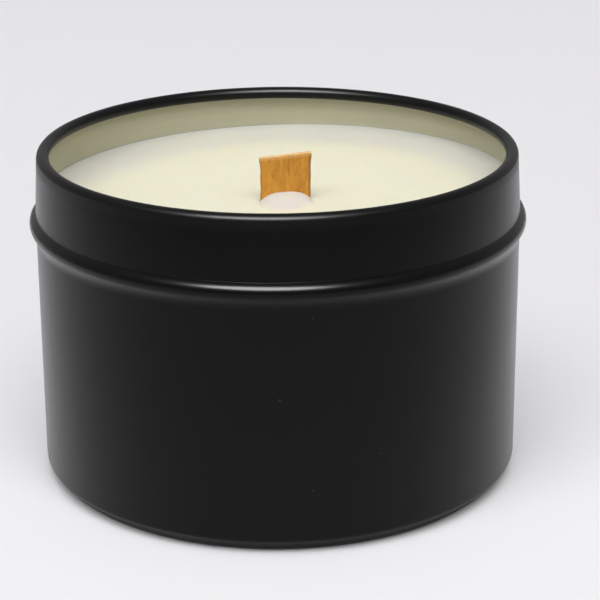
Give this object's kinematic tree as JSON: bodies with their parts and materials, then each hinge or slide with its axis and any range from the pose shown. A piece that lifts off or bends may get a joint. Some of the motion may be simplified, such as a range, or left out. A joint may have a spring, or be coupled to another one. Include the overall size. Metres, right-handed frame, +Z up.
{
  "type": "candle tin",
  "caption": "Open drawn metal candle tin with a rolled rim and stop bead, filled with wax around a flat wooden wick in a metal clip.",
  "frame": {"origin": "centre of the base, on the surface that the tin stands on", "axes": "+Z up along the tin's axis, +X to the right and -Y towards the viewer, who sees the wick's flat face"},
  "size_m": [0.079, 0.079, 0.053],
  "materials": {
    "black_lacquer": "satin black lacquer outside, olive-gold lacquer inside",
    "cream_wax": "smooth cream wax with a soft sheen",
    "wick_wood": "bare sawn wood, upright grain",
    "clip_steel": "bright tinplate",
    "sticker_foam": "white foam"
  },
  "bodies": {
    "root": {"tin_body": "black_lacquer", "wax_fill": "cream_wax", "wooden_wick": "wick_wood", "wick_clip": "clip_steel", "wick_sticker": "sticker_foam"}
  },
  "joints": []
}
